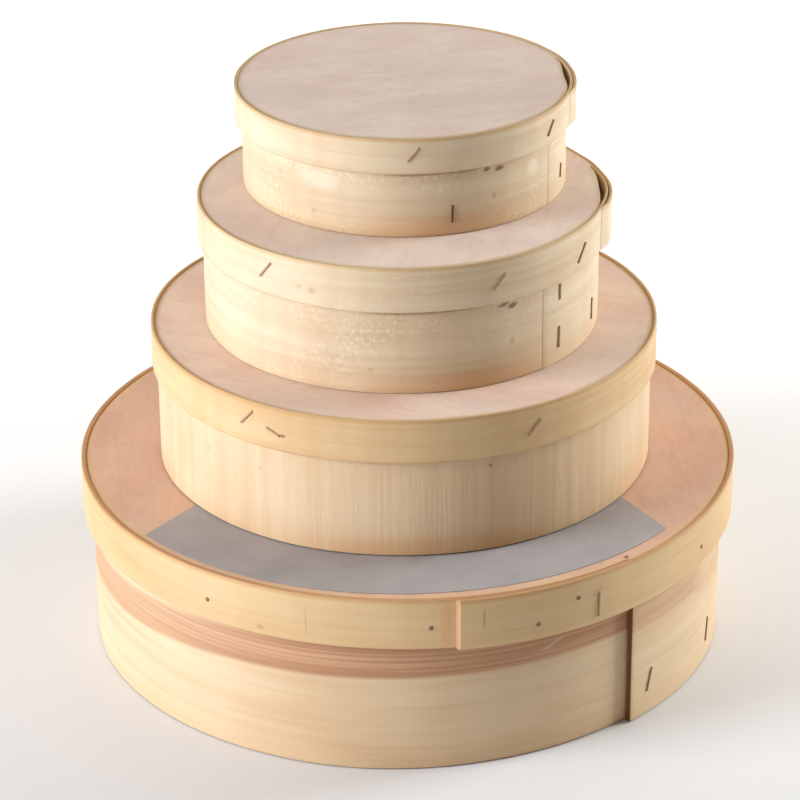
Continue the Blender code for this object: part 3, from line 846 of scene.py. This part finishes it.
# Thin brown bands just under a lid's skirt at the front: painted shade of the skirt, with some dirt.
DIRT_AND_SKIRT_SHADE = (150, 112, 78)
BARE = (250, 238, 216)
AMBER = (222, 158, 104)
# Painted warm bounce light, laid as broad marks near the foot of a body at the front.
PAINTED_BOUNCE_GLOW = (224, 156, 92)

# Marks on the wood, among them painted shade and painted bounce light: azimuth and height, half length and
# half width, turn in degrees, strength, colour.
MARKS = {
    ("small", "body"): (
        (29, 0.2855, 0.0026, 0.0015, 8, 0.80, SMUDGE), (34, 0.2845, 0.0034, 0.0017, 6, 0.85, SMUDGE),
        (8, 0.2870, 0.0280, 0.0012, 1, 0.60, DIRT_AND_SKIRT_SHADE), (21, 0.2865, 0.0100, 0.0012, 3, 0.50, DIRT_AND_SKIRT_SHADE),
        (-48, 0.2785, 0.0022, 0.0022, 0, 0.30, GREY_SPOT), (-33, 0.2620, 0.0018, 0.0018, 0, 0.40, GREY_SPOT),
        (32, 0.2700, 0.0016, 0.0024, 0, 0.40, KNOT), (50, 0.2795, 0.0060, 0.0050, 0, 0.35, BARE),
        (-31, 0.2800, 0.0150, 0.0060, 0, 0.30, BARE), (12, 0.2545, 0.0560, 0.0110, 0, 0.35, PAINTED_BOUNCE_GLOW),
    ),
    ("medium", "body"): (
        (29, 0.2255, 0.0042, 0.0014, 10, 0.70, SMUDGE), (32, 0.2240, 0.0038, 0.0019, 8, 0.80, SMUDGE),
        (8, 0.2270, 0.0420, 0.0013, 1, 0.55, DIRT_AND_SKIRT_SHADE), (16, 0.1840, 0.0600, 0.0090, 0, 0.30, PAINTED_BOUNCE_GLOW),
        (32, 0.2040, 0.0017, 0.0024, 0, 0.40, KNOT), (-23, 0.2135, 0.0040, 0.0030, 0, 0.10, KNOT),
        (-9, 0.1950, 0.0018, 0.0016, 0, 0.25, KNOT),
    ),
    ("medium", "lid"): (
        (-25, 0.2365, 0.0030, 0.0022, 0, 0.35, KNOT), (-29, 0.2375, 0.0028, 0.0012, 0, 0.20, KNOT),
    ),
    ("large", "body"): (
        (19, 0.1520, 0.0018, 0.0011, 0, 0.60, SMUDGE), (-34, 0.1440, 0.0020, 0.0016, 0, 0.25, KNOT),
        (-50, 0.1430, 0.0014, 0.0020, 0, 0.30, GREY_SPOT), (3, 0.1575, 0.0600, 0.0010, 0, 0.30, DIRT_AND_SKIRT_SHADE),
        (6, 0.1065, 0.0850, 0.0100, 0, 0.35, PAINTED_BOUNCE_GLOW),
    ),
    ("large", "lid"): ((-27, 0.1670, 0.0018, 0.0012, 0, 0.75, SMUDGE),),
    ("largest", "body"): ((26, 0.0630, 0.0100, 0.0014, 21, 0.20, BARE),),
    ("largest", "lid"): (
        (12, 0.0920, 0.0010, 0.0070, 0, 0.35, SMUDGE), (-17, 0.0885, 0.0005, 0.0105, 0, 0.40, KNOT),
        (-25, 0.0795, 0.0030, 0.0016, 0, 0.45, KNOT), (-52, 0.0875, 0.0007, 0.0100, 0, 0.20, KNOT),
        (6, 0.0890, 0.0036, 0.0200, 0, 0.40, AMBER), (32, 0.0935, 0.0050, 0.0026, 20, 0.20, SMUDGE),
    ),
}

# Each veneer's tones between the fibres, in them and in its warm bands, and each board's blotches and the
# colour of its ring of painted shade along the rim.
PALE_POPLAR = dict(pale=(232, 210, 175), dark=(212, 180, 140), warm=(202, 160, 118))
CREAM_POPLAR = dict(pale=(232, 204, 165), dark=(216, 180, 136), warm=(202, 156, 112))
GOLDEN_POPLAR = dict(pale=(226, 193, 145), dark=(212, 170, 118), warm=(202, 150, 98))
PALE_BOARD = dict(pale=(236, 216, 198), pink=(228, 204, 190), grey=(222, 208, 194), ring=(205, 180, 140))
PINK_BOARD = dict(pale=(236, 211, 190), pink=(229, 196, 176), grey=(222, 204, 188), ring=(202, 170, 125))
SALMON_BOARD = dict(pale=(222, 183, 155), pink=(215, 170, 145), grey=(210, 180, 160), ring=(220, 185, 135))

VENEERS = {
    ("small", "body"): dict(PALE_POPLAR, mottled=0.45),
    ("small", "lid"): dict(PALE_POPLAR, mottled=0.12),
    ("medium", "body"): dict(PALE_POPLAR, mottled=0.42),
    ("medium", "lid"): dict(PALE_POPLAR, mottled=0.24),
    ("large", "body"): dict(CREAM_POPLAR, across_grain=True),
    ("large", "lid"): GOLDEN_POPLAR,
    ("largest", "body"): dict(CREAM_POPLAR, heartwood=(0.0542, 0.0745), edge=(145, 95, 58), banded=0.0),
    ("largest", "lid"): dict(GOLDEN_POPLAR, edge=(205, 155, 112), banded=0.06),
}
BOARDS = {
    "small": PALE_BOARD,
    "medium": PALE_BOARD,
    "large": PINK_BOARD,
    "largest": dict(SALMON_BOARD, ring_width=0.0050),
}
LINING_POPLAR = dict(pale=(240, 208, 164), dark=(224, 184, 138), warm=(214, 166, 118))
LINING_HEIGHT = 0.02
# The strength of the painted warm bounce light near the foot of each body.
PAINTED_FOOT_BOUNCE_LIGHT = {"small": 0.20, "medium": 0.20, "large": 0.20, "largest": 0.10}
# The direction of the boards' grain, in degrees from +X.
GRAINS = {"small": 12.0, "medium": 78.0, "large": -20.0, "largest": 96.0}


# Each metal's bright and rusted tones, and how much of it has rusted.
WIRE = dict(bright=(196, 164, 132), rust=(158, 116, 84), spread=0.10)
RUSTY_WIRE = dict(bright=(122, 88, 52), rust=(100, 64, 32), spread=0.30)
NAIL = dict(bright=(150, 120, 94), rust=(122, 84, 56), spread=0.15)
RUSTY_STAPLE = "small_body_staple_1"


def build():
    """Makes every piece, box by box."""
    wire = steel("staple_wire", "staple_wire", **WIRE)
    rusty = steel("rusty_wire", "staple_wire", **RUSTY_WIRE)
    nail = steel("tack_steel", "tack_steel", **NAIL)
    for box in BOXES:
        for part, lower_board in (("body", "bottom_board"), ("lid", "lid_board")):
            key = (box.name, part)
            marks = [mark_at(box, part, *mark) for mark in MARKS.get(key, ())]
            low, high = box.heights(f"{part}_hoop")
            # Lids get painted shade along their top, and bodies get painted warm bounce light near their
            # foot.
            painted_light = dict(top=0.6) if part == "lid" else dict(foot=PAINTED_FOOT_BOUNCE_LIGHT[box.name])
            peeled = veneer("_".join(key) + "_veneer", high - low, marks=marks, **painted_light, **VENEERS[key])
            hoop(box, part, peeled)
            sawn = board_wood("_".join(key) + "_board", **BOARDS[box.name])
            board(box, part, lower_board, sawn, GRAINS[box.name])
            for node in sorted(frame["nodes"]):
                if node.startswith(f"{box.name}_{part}_staple"):
                    staple(box, node, rusty if node == RUSTY_STAPLE else wire)
    lining(LARGEST, veneer("lining_veneer", LINING_HEIGHT, **LINING_POPLAR))
    label(LARGEST, paper("label_paper"))
    for node in sorted(frame["nodes"]):
        if "_tack_" in node or node.endswith("_tack"):
            tack(LARGEST, node, nail, upright=node.endswith("board_tack"))


# ---- camera, floor and lights -------------------------------------------------------------------

CAMERA_PLACE = (-0.0038, -1.624, 0.910)  # a little left of the axis, 1.6 m in front
CAMERA_DOWN = 25.68  # degrees below the horizontal
CAMERA_ROLL = -0.0076  # radians
CAMERA_LENS = 147.7  # mm
FLOOR_RADIUS = 6.0
FLOOR_PAINT = (0.80, 0.79, 0.77, 1.0)
FLOOR_DROP = 0.0002  # how far the floor lies below the resting face
SKY = 0.08  # brightness of the white surroundings


def camera():
    """A long lens from above the front."""
    data = bpy.data.cameras.new("camera")
    data.lens = CAMERA_LENS
    data.sensor_width = 36.0
    data.clip_end = 50.0
    made = bpy.data.objects.new("camera", data)
    looking = Matrix.Rotation(math.radians(90.0 - CAMERA_DOWN), 4, "X") @ Matrix.Rotation(CAMERA_ROLL, 4, "Z")
    made.matrix_world = Matrix.Translation(CAMERA_PLACE) @ looking
    bpy.context.scene.collection.objects.link(made)
    bpy.context.scene.camera = made


def floor():
    """A pale, matt studio floor."""
    built = bmesh.new()
    bmesh.ops.create_circle(built, cap_ends=True, segments=96, radius=FLOOR_RADIUS)
    mesh = bpy.data.meshes.new("floor")
    built.to_mesh(mesh)
    built.free()
    made = bpy.data.objects.new("floor", mesh)
    made.location.z = -FLOOR_DROP
    bpy.context.scene.collection.objects.link(made)
    look = bpy.data.materials.new("floor")
    look.use_nodes = True
    shader = look.node_tree.nodes["Principled BSDF"]
    shader.inputs["Base Color"].default_value = FLOOR_PAINT
    shader.inputs["Roughness"].default_value = 0.9
    shader.inputs["Specular IOR Level"].default_value = 0.1
    mesh.materials.append(look)


def softbox(name, place, target, size, power, colour=(1.0, 1.0, 1.0), spread=180.0):
    """A rectangular light at a place, turned to a target."""
    data = bpy.data.lights.new(name, "AREA")
    data.shape = "RECTANGLE"
    data.size, data.size_y = size
    data.energy = power
    data.color = colour
    data.spread = math.radians(spread)
    made = bpy.data.objects.new(name, data)
    made.location = place
    made.rotation_euler = (Vector(target) - Vector(place)).to_track_quat("-Z", "Y").to_euler()
    bpy.context.scene.collection.objects.link(made)


def lights():
    """Soft, nearly white softboxes from the left, from the right, from overhead and on the floor behind."""
    world = bpy.data.worlds.new("studio")
    bpy.context.scene.world = world
    world.use_nodes = True
    sky = world.node_tree.nodes["Background"]
    sky.inputs["Color"].default_value = (1.0, 1.0, 1.0, 1.0)
    sky.inputs["Strength"].default_value = SKY
    middle = (0.0, 0.0, 0.15)
    softbox("key", (-1.42, -0.62, 0.60), middle, (0.7, 1.1), 31.0, (0.95, 1.0, 1.12))
    softbox("fill", (1.43, 0.42, 0.62), middle, (0.6, 1.0), 24.5, (0.95, 1.0, 1.06))
    softbox("above", (0.0, 0.2, 3.6), middle, (4.5, 4.5), 54.0, (1.0, 0.90, 0.77))
    softbox("backdrop", (0.0, 1.5, 1.5), (0.0, 1.05, 0.0), (2.4, 0.8), 10.0, spread=60.0)
    bpy.context.scene.view_settings.view_transform = "Standard"


camera()
build()
floor()
lights()
